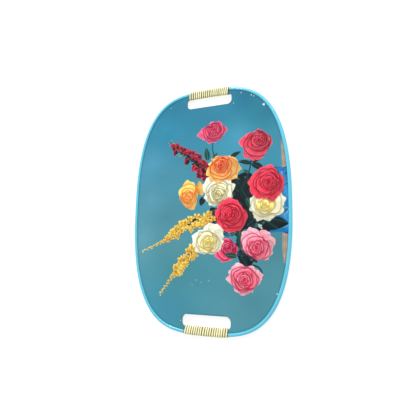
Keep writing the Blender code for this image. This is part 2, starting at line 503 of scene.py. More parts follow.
def blob(centre, radius, rng, corners=6):
    """An uneven round outline."""
    turns = WHOLE_TURN * (np.arange(corners) + rng.uniform(-0.2, 0.2, corners)) / corners
    reach = radius * rng.uniform(0.75, 1.2, corners)
    return smooth_loop([centre + toward(turn, r) for turn, r in zip(turns, reach)], PETAL_STEPS)


def flower_spike(picture, path, profile, bright, warm, under, sepals, count, size, seed, petals, sharp):
    """A tall spike of small flowers: single buds at the tip, open flowers lower down.

    The path starts at the spike's tip, and profile has its half widths on the way.
    The petals' colours lie between bright and warm; under fills what is behind them.
    """
    rng = np.random.default_rng(seed)
    line = smooth_line(path, SPIKE_STEPS)
    half = np.interp(np.linspace(0, 1, SPIKE_STEPS), np.linspace(0, 1, len(profile)), profile)
    step, side = sides_of(line)
    ribbon(picture, path, [0.8, 1.3, 1.8], under[1])
    places = []
    for k in range(count):
        share = ((k + rng.uniform(0, 1)) / count) ** 0.72
        places.append((int(share * (SPIKE_STEPS - 1)), rng.choice((-1, 1)) * rng.uniform(0.2, 1.0)))
    for at in range(0, SEPAL_STEPS, 2):
        tilt = 1 if at % 4 else -1
        away = side[at] * tilt * rng.uniform(0.3, 1.1) - step[at]
        tip = line[at] + away * rng.uniform(0.6, 1.1) * (3 + half[at] * 0.7)
        petal(picture, line[at], tip, 2.6, sepals, rng, shadow=0.3, lip=0.5, reach=1.0, point=2.0)
    for at, off in places:
        if half[at] > 4:
            spot = line[at] + side[at] * off * half[at] * 0.6
            picture.lay(blob(spot, half[at] * 0.38, rng), under[int(rng.random() < 0.35)])
    for at, off in places:
        centre = line[at] + side[at] * off * max(half[at] - size * 0.45, 0.4)
        radius = size * min(1.0, 0.34 + half[at] / 14) * rng.uniform(0.75, 1.15)
        tone = rng.uniform(0, 0.75) ** 1.5
        colours = [mix(a, b, tone) for a, b in zip(bright, warm)]
        number = 1 if half[at] < 4 else int(rng.integers(petals[0], petals[1] + 1))
        start = rng.uniform(0, PHASE_RANGE)
        if number == 1:
            away = side[at] * math.copysign(0.9, off) - step[at]
            start = math.atan2(away[1], away[0])
        for k in range(number):
            direction = start + WHOLE_TURN * (k + rng.uniform(-0.2, 0.2)) / max(number, 3)
            reach = toward(direction, radius * rng.uniform(0.75, 1.15))
            width = math.hypot(*reach) * sharp
            petal(
                picture, centre - 0.15 * reach, centre + reach, width, colours, rng,
                shadow=0.4, lip=0.5, reach=1.3, point=1.5, tint=under[0],
            )


# Petal colours: foot, middle, lip, and the shadow that falls on the petals below.
MAGENTA = shades((188, 28, 72), (248, 70, 112), (255, 156, 178), (146, 16, 52))
MAGENTA_HEART = shades((170, 20, 60), (240, 56, 98), (255, 142, 166), (128, 10, 44))
CORAL = shades((166, 20, 46), (232, 58, 84), (255, 136, 146), (120, 10, 34))
CORAL_HEART = shades((140, 14, 40), (214, 44, 72), (246, 102, 120), (102, 8, 28))
CRIMSON = shades((188, 26, 48), (238, 50, 72), (255, 108, 122), (150, 16, 36))
CRIMSON_HEART = shades((160, 18, 40), (230, 42, 66), (254, 102, 118), (128, 10, 30))
ORANGE = shades((230, 96, 46), (254, 200, 90), (255, 238, 156), (208, 74, 36))
ORANGE_HEART = shades((208, 42, 44), (240, 106, 58), (255, 196, 100), (184, 32, 34))
AMBER = shades((240, 138, 48), (252, 194, 88), (255, 228, 142), (218, 106, 38))
AMBER_HEART = shades((232, 112, 52), (250, 172, 80), (255, 218, 128), (208, 92, 40))
CREAM = shades((202, 198, 150), (240, 236, 206), (255, 254, 240), (158, 152, 110))
CREAM_HEART = shades((170, 154, 90), (220, 210, 156), (252, 247, 220), (132, 116, 60))
YELLOW_HEART = shades((212, 182, 66), (242, 228, 146), (252, 248, 204), (182, 144, 44))
PINK = shades((220, 76, 108), (246, 154, 170), (255, 216, 216), (186, 50, 82))
PINK_HEART = shades((200, 30, 68), (243, 88, 114), (255, 178, 188), (166, 22, 54))
YOLK = shades((214, 178, 72), (236, 212, 118), (246, 234, 170), (190, 154, 60))
DARK_LEAF = shades((12, 26, 30), (26, 52, 52), (62, 104, 96))
GREEN_LEAF = shades((14, 46, 44), (38, 96, 80), (110, 164, 134))
TEAL_LEAF = shades((16, 48, 54), (44, 102, 112), (126, 186, 192))
STEM = rgb(24, 58, 60)
SHADE = rgb(14, 28, 34)


def paint_bowl_and_table(picture):
    """What the bouquet stands on, cut off by the tray's edge: a patterned bowl and a table."""
    rng = np.random.default_rng(21)
    wood = rgb(166, 146, 132)

    def grain(points, depth):
        wave = np.sin(points[:, 0] * 1.9 + 0.6 * np.sin(points[:, 1] / 6)) * 0.06
        return np.clip(wood * (1 + wave + 0.04 * np.sin(points[:, 1] / 3.1))[:, None], 0, 1)

    for strip in (
        ((140, 114), (143, 118), (157, 96), (157, 60), (141, 60)),
        ((140, -51), (157, -51), (157, -80), (147, -106), (141, -104), (139, -80)),
    ):
        picture.lay(np.array(strip, float), grain)
    bowl = (
        (124, 66), (142, 64), (158, 62), (162, 6), (158, -51),
        (136, -51), (112, -49), (118, -20), (122, 20), (122, 50),
    )

    def glaze(points, depth):
        colour = mix(rgb(14, 88, 150), rgb(44, 132, 186), ease(0, 9, depth))
        return colour * (1 + 0.10 * np.sin(points[:, 0] / 3 + points[:, 1] / 9))[:, None]

    picture.lay(smooth_loop(bowl, 5), glaze)
    for k in range(46):
        start = np.array([rng.uniform(124, 157), rng.uniform(-44, 58)])
        turn = rng.uniform(0, PHASE_RANGE)
        sweep = rng.uniform(2.2, 4.2)
        radius = rng.uniform(2.5, 5)
        arc = [start + toward(turn + sweep * t, radius) for t in np.linspace(0, 1, 5)]
        colour = (rgb(128, 184, 212), rgb(16, 66, 120), rgb(74, 150, 196))[k % 3]
        ribbon(picture, arc, [0.5, 1.5, 0.5], colour)
    for corners, widths, colour in (
        (((112, -49), (126, -45), (142, -42), (158, -36)), (1.2, 2.6, 2.6), rgb(96, 184, 222)),
        (((114, -50.5), (132, -50), (158, -49)), (1.2, 2.2, 2.4), rgb(18, 122, 178)),
        (((126, 64), (142, 62), (158, 60)), (1.4, 2.6, 2.6), rgb(22, 122, 186)),
    ):
        ribbon(picture, corners, widths, colour)


# Across and along ranges in which small leaves are scattered, one for each of the first dark masses.
LEAF_FIELDS = (
    ((50, 112), (-50, 54)),
    ((60, 74), (-86, -48)),
    ((62, 92), (-112, -86)),
    ((8, 26), (-32, -8)),
)


def paint_leaves_behind(picture):
    """Stems, leaves and the dark gaps between the flowers."""
    masses = (
        ((38, 50), (60, 56), (72, 60), (86, 56), (98, 30), (96, 0), (98, -24), (118, -27), (126, -40),
         (116, -50), (98, -54), (84, -47), (72, -46), (62, -54), (50, -42), (48, 0), (34, 12), (34, 36)),
        ((62, -46), (72, -54), (76, -84), (62, -88), (58, -66)),
        ((60, -88), (78, -84), (94, -94), (88, -104), (76, -116), (64, -104)),
        ((6, -4), (26, -10), (28, -34), (12, -30)),
        ((116, -28), (146, -34), (150, -38), (132, -46), (112, -46)),
        ((-6, 70), (8, 74), (8, 56), (-4, 52)),
    )
    for mass in masses:
        picture.lay(smooth_loop(mass), SHADE)
    rng = np.random.default_rng(71)
    for k in range(74):
        (left, right), (low, high) = LEAF_FIELDS[k % len(LEAF_FIELDS)]
        base = np.array([rng.uniform(left, right), rng.uniform(low, high)])
        mass = smooth_loop(masses[k % len(LEAF_FIELDS)])
        if depth_inside(base[None], mass)[0] < 0:
            continue
        direction = rng.uniform(0, PHASE_RANGE)
        tip = base + toward(direction, rng.uniform(8, 17))
        colours = (DARK_LEAF, DARK_LEAF, TEAL_LEAF)[k % 3]
        leaf(picture, base, tip, rng.uniform(5, 9), colours, 200 + k, teeth=5)
    for corners, widths, colour in (
        (((9.5, 124), (9, 112), (12, 100), (14, 88)), (1.5, 1.8, 2.2), STEM),
        (((85, 86), (84, 72), (79, 56), (76, 46)), (2.2, 2.4, 3.2), STEM),
        (((-10, 18), (-2, 12), (6, 10)), (1.2, 1.6, 1.6), STEM),
        (((80, -108), (94, -111), (102, -118), (105, -130)), (3.0, 2.4, 1.6), SHADE),
    ):
        ribbon(picture, corners, widths, colour)
    leaves = (
        ((0, 89), (-4, 116), 12, GREEN_LEAF, 0), ((9, 88), (20, 104), 8, GREEN_LEAF, 0),
        ((44, 90), (66, 101), 9, DARK_LEAF, 1), ((86, 76), (60, 82), 9, DARK_LEAF, -1),
        ((86, 80), (106, 86), 9, DARK_LEAF, 0), ((86, 76), (110, 62), 13, DARK_LEAF, 1),
        ((80, 58), (70, 66), 7, GREEN_LEAF, 0),
        ((56, 46), (74, 20), 22, DARK_LEAF, 2), ((80, 48), (66, 26), 18, DARK_LEAF, -2),
        ((66, 30), (82, 4), 18, DARK_LEAF, 0), ((76, 12), (88, -8), 14, GREEN_LEAF, 0),
        ((80, -4), (84, -30), 16, DARK_LEAF, 1), ((92, -26), (76, -40), 13, DARK_LEAF, 0),
        ((-8, 18), (-14, 1), 13, DARK_LEAF, 0),
        ((120, -28), (149, -35), 12, DARK_LEAF, 1), ((126, -18), (146, -14), 7, DARK_LEAF, 0),
        ((110, -30), (132, -45), 12, DARK_LEAF, 0), ((14, -10), (28, -4), 8, TEAL_LEAF, 0),
        ((28, -46), (44, -60), 9, TEAL_LEAF, 1), ((44, -56), (58, -50), 8, TEAL_LEAF, 0),
        ((62, -44), (66, -84), 12, GREEN_LEAF, 1), ((70, -90), (88, -96), 12, DARK_LEAF, 0),
        ((66, -94), (78, -112), 13, DARK_LEAF, 0),
    )
    for k, (base, tip, width, colours, bend) in enumerate(leaves):
        leaf(picture, base, tip, width, colours, 100 + k, bend=bend)


def loose_petal(picture, base, tip, width, colours, seed, shadow=0.3, tint=BLACK):
    """A petal that stands clear of its flower's rings."""
    petal(picture, base, tip, width, colours, np.random.default_rng(seed), shadow=shadow, tint=tint)


def paint_spikes(picture):
    """The dark red spike at the top left and the two yellow ones below it."""
    flower_spike(
        picture, ((-80, 133), (-64, 116), (-35, 95), (-16, 76), (4, 56)), (4, 11, 15.5, 18.5, 18, 14),
        shades((84, 10, 26), (186, 40, 62), (226, 104, 116)),
        shades((52, 8, 22), (116, 20, 40), (176, 62, 78)),
        shades((28, 22, 30), (34, 62, 56)),
        shades((38, 44, 38), (104, 106, 76), (196, 198, 150)),
        50, 6.8, 31, (2, 3), 0.80,
    )
    yellow = shades((236, 150, 40), (252, 214, 78), (255, 240, 150))
    amber = shades((214, 96, 44), (244, 166, 62), (253, 216, 120))
    stalk = shades((64, 50, 40), (150, 128, 60))
    path = ((-134, -85), (-96, -68), (-70, -55), (-52, -40), (-23, -30), (12, -18))
    wide = (0.8, 2.2, 6.0, 11.5, 13, 14, 14, 13)
    flower_spike(picture, path, wide, yellow, amber, stalk, yellow, 84, 6.6, 32, (3, 5), 0.62)
    path = ((-93, -166), (-72, -137), (-57, -120), (-39, -98), (-22, -74))
    wide = (0.8, 2.0, 4.0, 11.5, 12.5, 13, 10)
    flower_spike(picture, path, wide, yellow, amber, stalk, yellow, 66, 6.4, 33, (3, 5), 0.62)


def paint_flowers(picture):
    """The bouquet, from the back to the front."""
    paint_spikes(picture)
    tips = (
        (-22, 141), (-16, 150), (-9, 155), (2, 163), (12, 162), (22, 163), (31, 156),
        (39, 147), (32, 138), (26, 129), (14, 124), (0, 123), (-12, 134),
    )
    rose(picture, tips, (12, 150), MAGENTA, MAGENTA_HEART, 41, rings=(5, 5, 4, 4, 3), full=1.10)
    tips = (
        (62, 120), (66, 111), (74, 98), (73, 88), (86, 82), (99, 81), (104, 93),
        (113, 95), (124, 110), (117, 126), (108, 132), (97, 141), (84, 133), (74, 131),
    )
    rose(picture, tips, (101, 120), CORAL, CORAL_HEART, 42)
    tips = (
        (-58, 26), (-52, 42), (-42, 53), (-31, 49), (-23, 38),
        (-20, 19), (-24, 3), (-29, -6), (-43, 0), (-54, 10),
    )
    rose(picture, tips, (-40, 20), AMBER, AMBER_HEART, 43)
    loose_petal(picture, (-22, 33), (-9, 36), 26, AMBER, 44)
    tips = (
        (-10, 41), (-1, 53), (34, 54), (44, 54), (53, 39), (48, 30), (49, 15),
        (36, 7), (24, 4), (14, -1), (4, 2), (-6, 16), (-3, 28),
    )
    rose(picture, tips, (22, 22), CREAM, CREAM_HEART, 45)
    tips = (
        (2, 82), (8, 91), (16, 96), (33, 94), (44, 94), (59, 83), (66, 68),
        (58, 51), (43, 48), (30, 50), (21, 43), (6, 49), (-3, 60), (2, 70),
    )
    rose(picture, tips, (27, 78), ORANGE, ORANGE_HEART, 46)
    tips = (
        (84, 10), (88, 0), (82, -11), (90, -24), (96, -31), (118, -31),
        (128, -20), (143, -16), (144, -2), (146, 8), (138, 20), (112, 24),
    )
    rose(picture, tips, (110, 0), CREAM, YELLOW_HEART, 47, rings=(6, 5, 4, 3))
    loose_petal(picture, (99, -10), (98, 2), 6.5, YOLK, 60, shadow=0.2, tint=YELLOW_HEART[3])
    loose_petal(picture, (121, -11), (122, 1), 6.5, YOLK, 62, shadow=0.2, tint=YELLOW_HEART[3])
    tips = (
        (79, 40), (85, 49), (92, 58), (103, 67), (119, 70), (130, 61), (133, 51),
        (144, 41), (142, 24), (136, 14), (125, 5), (108, 10), (94, 12), (84, 22),
    )
    rose(picture, tips, (117, 39), CRIMSON, CRIMSON_HEART, 48, point=1.2)
    tips = (
        (34, -62), (46, -64), (54, -70), (60, -80), (57, -90),
        (45, -102), (30, -104), (16, -94), (12, -84),
    )
    rose(picture, tips, (42, -80), MAGENTA, MAGENTA_HEART, 49, rings=(5, 5, 4, 3))
    leaf(picture, (59, -94), (34, -91), 10, GREEN_LEAF, 130)
    loose_petal(picture, (10, -58), (4, -33), 24, CREAM, 50)
    loose_petal(picture, (12, -62), (22, -35), 26, CREAM, 51)
    loose_petal(picture, (10, -66), (31, -50), 18, CREAM, 52)
    tips = (
        (-30, -56), (-17, -46), (-3, -43), (12, -46), (26, -56), (33, -66),
        (29, -79), (14, -90), (4, -88), (-5, -90), (-21, -85), (-28, -72),
    )
    rose(picture, tips, (2, -69), CREAM, YELLOW_HEART, 53)
    tips = (
        (16, -15), (21, -4), (27, 6), (43, 13), (57, 8), (64, 0), (70, -8),
        (78, -24), (72, -36), (67, -45), (54, -50), (40, -49), (25, -37), (20, -26),
    )
    rose(picture, tips, (46, -18), CRIMSON, CRIMSON_HEART, 54, full=1.6, point=1.0)
    loose_petal(picture, (94, -78), (114, -49), 22, PINK, 114, shadow=0.35)
    loose_petal(picture, (94, -78), (126, -63), 22, PINK, 126, shadow=0.35)
    loose_petal(picture, (94, -78), (123, -75), 18, PINK, 123, shadow=0.35)
    tips = (
        (68, -52), (82, -42), (97, -53), (112, -64), (120, -74), (123, -88),
        (114, -98), (104, -95), (95, -98), (82, -91), (69, -80), (67, -70),
    )
    rose(picture, tips, (94, -79), PINK, PINK_HEART, 55, deep=1.05)
    tips = (
        (39, -134), (43, -120), (50, -112), (57, -106), (75, -112), (89, -111), (97, -118),
        (105, -126), (100, -138), (87, -147), (86, -156), (67, -162), (56, -156), (49, -142),
    )
    rose(picture, tips, (72, -135), PINK, PINK_HEART, 56, deep=1.2)
    sprig = shades((120, 160, 140), (196, 220, 200), (236, 248, 236))
    leaf(picture, (97, -36), (105, -46), 6, sprig, 131, teeth=4)
    leaf(picture, (104, -38), (98, -42), 4, sprig, 132, teeth=4)


# Marks of wear: across, along and radius.
CHIPS = (
    (110, 188, 2.2), (66, 219, 1.1), (86, 211, 1.4), (91, 208, 1.1), (-83, 209, 0.8), (129, -157, 1.3),
    (-38, -203, 1.2), (51, 199.6, 1.0), (-49, -212, 0.9),
)
SCUFFS = ((-20, -138, 1.8), (-10, -142, 1.7), (5, -138, 2.0), (-28, -147, 1.6))


def paint_edge_shade(picture, slots):
    """Painted shade against the rim's lip and round the hand slots."""
    places = to_tray(picture.points)
    lip = BEAD_RADIUS + LIP_REACH
    depth = (1 - level(places, lip)) / np.maximum(np.hypot(*slope(places, lip).T), 1.0)
    # Painted shade: the print turns darker towards the rim's lip.
    cover = 0.32 * ease(3.2 * MM, 0.2 * MM, depth)
    picture.colour = mix(picture.colour, picture.colour * rgb(96, 166, 170), cover)
    for slot in slots:
        # Painted shade: a soft dark teal band round each slot's edge.
        picture.lay(to_picture(slot), rgb(30, 84, 96), soft=1.1, strength=0.75)


def to_picture(points):
    """Points of the tray, in metres, as picture places."""
    return np.stack([-points[:, 1], points[:, 0]], 1) / MM


def to_tray(points):
    """Picture places as points of the tray, in metres."""
    return np.stack([points[:, 1], -points[:, 0]], 1) * MM


def speck(picture, mark, low, rng, colour, soft, strength=1.0):
    """A small uneven mark; its corners reach between low and 1.2 of its radius."""
    across, along, radius = mark
    corners = []
    for turn in np.linspace(0, PHASE_RANGE, 7)[:-1]:
        corners.append((across, along) + toward(turn, radius) * rng.uniform(low, 1.2, 2))
    picture.lay(smooth_loop(corners, 3), rgb(*colour), soft=soft, strength=strength)


def paint_wear(picture):
    """Small chips to the pale board, and faint scuffs."""
    rng = np.random.default_rng(61)
    for mark in CHIPS:
        speck(picture, mark, 0.6, rng, (222, 232, 232), soft=0.3)
    for mark in SCUFFS:
        speck(picture, mark, 0.5, rng, (150, 190, 196), soft=0.8, strength=0.5)


def paint_picture(points):
    """Paint the whole print on the points."""
    picture = Picture(points)
    paint_ground(picture)
    paint_bowl_and_table(picture)
    paint_leaves_behind(picture)
    paint_flowers(picture)
    return picture


# ---- meshes
COLLECTION = bpy.data.collections.new("tray_looks")
bpy.context.scene.collection.children.link(COLLECTION)


def linear(colour):
    """Screen colours as linear light."""
    colour = np.clip(colour, 0, 1)
    return np.where(colour <= 0.04045, colour / 12.92, ((colour + 0.055) / 1.055) ** 2.4)


def new_piece(name, vertices, faces, material, smooth=True):
    """Make a mesh object."""
    mesh = bpy.data.meshes.new(name)
    mesh.from_pydata([tuple(v) for v in vertices], [], faces)
    mesh.materials.append(material)
    mesh.polygons.foreach_set("use_smooth", [smooth] * len(mesh.polygons))
    mesh.update()
    made = bpy.data.objects.new(name, mesh)
    COLLECTION.objects.link(made)
    return made


def set_tint(piece, colours):
    """Store one screen colour per vertex in the piece's tint attribute."""
    layer = piece.data.color_attributes.new("tint", "FLOAT_COLOR", "POINT")
    values = np.ones((len(colours), 4), np.float32)
    values[:, :3] = linear(colours)
    layer.data.foreach_set("color", values.ravel())


def seat(piece, slot, *nodes):
    """The piece rides on the tray and stands for CAD nodes, which are hidden; slot is not used."""
    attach(piece, "root")
    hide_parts(*nodes)


def loop_edges(loops):
    """Each loop's edges as pairs of point numbers, when the loops' points are in one list."""
    start = 0
    for loop in loops:
        numbers = list(range(start, start + len(loop)))
        yield list(zip(numbers, numbers[1:] + numbers[:1]))
        start += len(loop)


def flat_triangles(loops, inner=()):
    """Points and triangles of the panel's outline less its slots, with the inner points.

    The loops' points come first, in order, so that walls can join them.
    """
    points = np.vstack([*loops, inner]) if len(inner) else np.vstack(loops)
    edges = [edge for pairs in loop_edges(loops) for edge in pairs]
    made = geometry.delaunay_2d_cdt([Vector(p) for p in points], edges, [], 0, MERGE_DISTANCE)
    flat = np.array([tuple(p) for p in made[0]])
    triangles = np.array(made[2])
    middle = flat[triangles].mean(1)
    keep = np.ones(len(triangles), bool)
    for loop in loops[1:]:
        box = (middle >= loop.min(0)).all(1) & (middle <= loop.max(0)).all(1)
        hit = np.flatnonzero(box)
        keep[hit[depth_inside(middle[hit], loop) > 0]] = False
    a, b, c = (flat[triangles[:, k]] for k in range(3))
    area = (b[:, 0] - a[:, 0]) * (c[:, 1] - a[:, 1]) - (b[:, 1] - a[:, 1]) * (c[:, 0] - a[:, 0])
    triangles[area < 0] = triangles[area < 0][:, ::-1]
    return flat, triangles[keep & (np.abs(area) > SLIVER_AREA)]


def layer_loops():
    """The panel's outer outline and its two hand slots."""
    ring, _ = inset_outline(PANEL_INSET, PANEL_POINTS + 1)
    return [ring[:-1], slot_outline(1), slot_outline(-1)]


def panel_layer(name, low, high, material, inner=()):
    """A closed flat layer of the panel, whose top also has the inner points.

    Returns the piece and the places of its top's points, which come first.
    """
    loops = layer_loops()
    top, top_faces = flat_triangles(loops, inner)
    bottom, bottom_faces = flat_triangles(loops)
    first = len(top)
    vertices = [(x, y, high) for x, y in top]
    vertices += [(x, y, low) for x, y in bottom]
    faces = [tuple(f) for f in top_faces.tolist()]
    faces += [tuple(first + k for k in f[::-1]) for f in bottom_faces.tolist()]
    for loop, edges in zip(loops, loop_edges(loops)):
        after = np.roll(loop, -1, 0)
        area = np.sum(loop[:, 0] * after[:, 1] - loop[:, 1] * after[:, 0])
        forward = (area > 0) == (loop is loops[0])
        for a, b in edges:
            quad = (b, a, first + a, first + b)
            faces.append(quad if forward else quad[::-1])
    return new_piece(name, vertices, faces, material, smooth=False), top


def swept(name, rings, material):
    """A tube with closed ends through rings of points, each ring a closed section."""
    count = len(rings[0])
    faces = []
    for k in range(len(rings) - 1):
        for j in range(count):
            a = k * count + j
            b = k * count + (j + 1) % count
            faces.append((a, b, b + count, a + count))
    last = (len(rings) - 1) * count
    faces.append(tuple(range(count))[::-1])
    faces.append(tuple(range(last, last + count)))
    return new_piece(name, np.vstack(rings), faces, material)


# ---- materials
class Nodes:
    """Short calls for making a material's nodes."""

    def __init__(self, name):
        self.material = bpy.data.materials.new(name)
        self.material.use_nodes = True
        self.tree = self.material.node_tree
        self.shader = self.tree.nodes["Principled BSDF"]

    def add(self, kind, **values):
        node = self.tree.nodes.new(kind)
        for key, value in values.items():
            setattr(node, key, value)
        return node

    def link(self, source, target):
        self.tree.links.new(source, target)

    def noise(self, *scale, detail=4.0, roughness=0.55, distortion=0.0):
        """Noise with one scale, or one for each axis, in cycles per metre."""
        coordinates = self.add("ShaderNodeTexCoord")
        mapping = self.add("ShaderNodeMapping")
        mapping.inputs["Scale"].default_value = scale if len(scale) == 3 else scale * 3
        self.link(coordinates.outputs["Object"], mapping.inputs["Vector"])
        node = self.add("ShaderNodeTexNoise")
        node.inputs["Scale"].default_value = 1.0
        node.inputs["Detail"].default_value = detail
        node.inputs["Roughness"].default_value = roughness
        node.inputs["Distortion"].default_value = distortion
        self.link(mapping.outputs["Vector"], node.inputs["Vector"])
        return node.outputs["Fac"]

    def remap(self, value, low, high, out_low=0.0, out_high=1.0):
        """Value from one range to another."""
        node = self.add("ShaderNodeMapRange")
        sockets = ("From Min", "From Max", "To Min", "To Max")
        for socket, number in zip(sockets, (low, high, out_low, out_high)):
            node.inputs[socket].default_value = number
        self.link(value, node.inputs["Value"])
        return node.outputs["Result"]

    def tint(self):
        """The piece's painted colours."""
        return self.add("ShaderNodeVertexColor", layer_name="tint").outputs["Color"]

    def blend(self, share, first, second, mode="MIX"):
        """Mix two colours; each is a socket or a fixed colour."""
        node = self.add("ShaderNodeMix", data_type="RGBA", blend_type=mode)
        sockets = [s for s in node.inputs if s.type == "RGBA"]
        if isinstance(share, float):
            node.inputs[0].default_value = share
        else:
            self.link(share, node.inputs[0])
        for socket, value in zip(sockets, (first, second)):
            if isinstance(value, tuple):
                socket.default_value = (*value, 1.0)
            else:
                self.link(value, socket)
        return [s for s in node.outputs if s.type == "RGBA"][0]

    def spread(self, noise, low=0.0, high=1.0):
        """Noise stretched from its usual range to low and high."""
        return self.remap(noise, NOISE_LOW, NOISE_HIGH, low, high)

    def vary(self, colour, noise, low, high):
        """A colour made darker and lighter by noise, from low to high."""
        return self.blend(1.0, colour, self.grey(self.spread(noise, low, high)), "MULTIPLY")

    def grey(self, value):
        """A value as a grey colour."""
        node = self.add("ShaderNodeCombineColor")
        for socket in ("Red", "Green", "Blue"):
            self.link(value, node.inputs[socket])
        return node.outputs["Color"]

    def bump(self, height, strength, distance):
        node = self.add("ShaderNodeBump")
        node.inputs["Strength"].default_value = strength
        node.inputs["Distance"].default_value = distance
        self.link(height, node.inputs["Height"])
        self.link(node.outputs["Normal"], self.shader.inputs["Normal"])

    def fix(self, socket, value):
        self.shader.inputs[socket].default_value = value

    def base(self, colour):
        self.link(colour, self.shader.inputs["Base Color"])

    def rough(self, noise, low, high):
        self.link(self.spread(noise, low, high), self.shader.inputs["Roughness"])


def screen(*parts):
    """Screen colour from 0 to 255 as a linear tuple."""
    return tuple(float(v) for v in linear(rgb(*parts)))


def print_material():
    """Printed paper under a thin, worn lacquer."""
    made = Nodes("printed_sheet")
    shade = made.vary(made.tint(), made.noise(900, detail=2), 0.95, 1.05)
    shade = made.vary(shade, made.noise(14, detail=6), 0.96, 1.04)
    scratch = made.noise(60, 2200, 60, detail=3, distortion=0.6)
    rub = made.remap(scratch, 0.68, 0.80, 0.0, 0.22)
    made.base(made.blend(rub, shade, screen(150, 190, 200)))
    made.rough(made.noise(45, detail=8, roughness=0.7), 0.30, 0.52)
    made.bump(made.noise(420, detail=3), 0.10, 0.0004)
    made.fix("Specular IOR Level", 0.15)
    return made.material


def rim_material():
    """Light blue moulded plastic with faint mould marks and dark specks."""
    made = Nodes("rim_plastic")
    shade = made.vary(made.tint(), made.noise(35, detail=5), 0.95, 1.05)
    specks = made.remap(made.noise(700, detail=2), 0.62, 0.75, 0.0, 0.25)
    made.base(made.blend(specks, shade, screen(70, 140, 160)))
    made.rough(made.noise(120, detail=6), 0.16, 0.30)
    made.bump(made.noise(300, detail=3), 0.12, 0.0004)
    return made.material


def cane_material():
    """Cream plastic cane, ribbed along its length, stained in places."""
    made = Nodes("cane_plastic")
    rib = made.noise(90, 2600, 90, detail=2)
    stain = made.noise(160, detail=5)
    shade = made.vary(made.tint(), rib, 0.92, 1.06)
    made.base(made.blend(made.remap(stain, 0.55, 0.8, 0.0, 0.35), shade, screen(214, 200, 132)))
    made.rough(stain, 0.30, 0.48)
    made.bump(rib, 0.25, 0.0003)
    return made.material


def board_material():
    """Pressed fibre, painted dark teal on the slots' cut edges."""
    made = Nodes("hardboard")
    fibre = made.noise(900, 900, 2600, detail=5)
    bare = made.blend(made.remap(fibre, 0.35, 0.7), screen(104, 72, 46), screen(156, 116, 78))
    paint = made.blend(made.spread(fibre), screen(34, 92, 106), screen(52, 122, 138))
    worn = made.noise(140, 140, 400, detail=5)
    made.base(made.blend(made.remap(worn, 0.66, 0.74), paint, bare))
    made.rough(fibre, 0.55, 0.85)
    made.bump(fibre, 0.4, 0.0006)
    return made.material


def backing_material():
    """Plain brown backing paper with fibres and a few stains."""
    made = Nodes("backing_sheet")
    fibre = made.noise(260, 1500, 260, detail=6)
    stain = made.noise(18, detail=6)
    shade = made.blend(made.spread(fibre), screen(112, 82, 56), screen(142, 108, 76))
    made.base(made.blend(made.remap(stain, 0.55, 0.75, 0.0, 0.5), shade, screen(88, 62, 42)))
    made.rough(stain, 0.55, 0.78)
    made.bump(fibre, 0.25, 0.0005)
    return made.material


# ---- pieces
def lattice(spacing):
    """Points of a triangular grid over the tray, in millimetres."""
    row = spacing * math.sqrt(3) / 2
    across = np.arange(-HALF_WIDTH / MM, HALF_WIDTH / MM, spacing)
    along = np.arange(-HALF_LENGTH / MM, HALF_LENGTH / MM, row)
    grid_a, grid_b = np.meshgrid(across, along)
    grid_a = grid_a + (np.arange(len(along)) % 2)[:, None] * spacing / 2
    return np.stack([grid_a.ravel(), grid_b.ravel()], 1)


def inside_panel(points, loops, margin):
    """Which picture points lie on the panel, clear of its edges."""
    places = to_tray(points)
    keep = level(places, PANEL_INSET + margin) < 1
    for loop in loops[1:]:
        low = loop.min(0) - margin
        high = loop.max(0) + margin
        hit = np.flatnonzero((places > low).all(1) & (places < high).all(1))
        keep[hit[depth_inside(places[hit], loop) > -margin]] = False
    return points[keep]


def cell(points):
    """Which square of a coarse grid over the tray each picture point is in."""
    return ((points + HALF_LENGTH / MM) / CELL_SIZE).astype(int) + 1


def busy_cells():
    """A grid that is true in and next to the squares where something is painted on the ground."""
    size = int(2 * HALF_LENGTH / MM / CELL_SIZE) + 4
    cells = np.zeros((size, size), bool)
    scout = paint_picture(lattice(SCOUT_SPACING))
    busy = cell(scout.points[scout.painted > 0])
    for step_a in (-1, 0, 1):
        for step_b in (-1, 0, 1):
            cells[busy[:, 0] + step_a, busy[:, 1] + step_b] = True
    return cells


def picture_mesh_points(loops):
    """Picture points for the printed sheet's mesh, all clear of the panel's edges."""
    cells = busy_cells()

    def is_busy(points):
        at = cell(points)
        return cells[at[:, 0], at[:, 1]]

    coarse = inside_panel(lattice(GROUND_SPACING), loops, 1.2 * MM)
    fine = inside_panel(lattice(PICTURE_SPACING), loops, 0.5 * MM)
    marks = [lattice_patch(across, along, radius + 1.5) for across, along, radius in CHIPS + SCUFFS]
    marks = inside_panel(np.vstack(marks), loops, 0.4 * MM)
    rows = inside_panel(edge_rows(loops), loops, 0.3 * MM)
    return np.vstack([fine[is_busy(fine)], coarse[~is_busy(coarse)], marks[~is_busy(marks)], rows])


def decor_sheet(material):
    """The printed sheet, painted point by point."""
    loops = layer_loops()
    inner = to_tray(picture_mesh_points(loops))
    piece, top = panel_layer("printed_sheet", TOP_LOW.z, TOP_HIGH.z, material, inner)
    picture = paint_picture(to_picture(top))
    paint_edge_shade(picture, loops[1:])
    paint_wear(picture)
    # The sheet's underside takes the plain ground darkened to 0.7, so its cut edges turn darker towards
    # the bottom.
    under = np.array([v.co[:2] for v in piece.data.vertices[len(top):]])
    plain = Picture(to_picture(under))
    paint_ground(plain)
    set_tint(piece, np.vstack([picture.colour, plain.colour * 0.7]))
    seat(piece, "printed_sheet", "decor_sheet")


def edge_rows(loops):
    """Rows of picture points along the rim's lip and round the slots, for the painted shade there."""
    lip = BEAD_RADIUS + LIP_REACH
    rows = []
    for step in (0.1, 1.4, 3.0):
        ring, _ = inset_outline(lip + step * MM, EDGE_ROW_POINTS)
        rows.append(to_picture(ring[:-1]))
    for slot in loops[1:]:
        along = np.roll(slot, -1, 0) - np.roll(slot, 1, 0)
        along /= np.hypot(along[:, 0], along[:, 1])[:, None]
        outward = np.stack([along[:, 1], -along[:, 0]], 1)
        rows += [to_picture(slot + outward * step * MM) for step in (0.6, 1.3)]
    return np.vstack(rows)


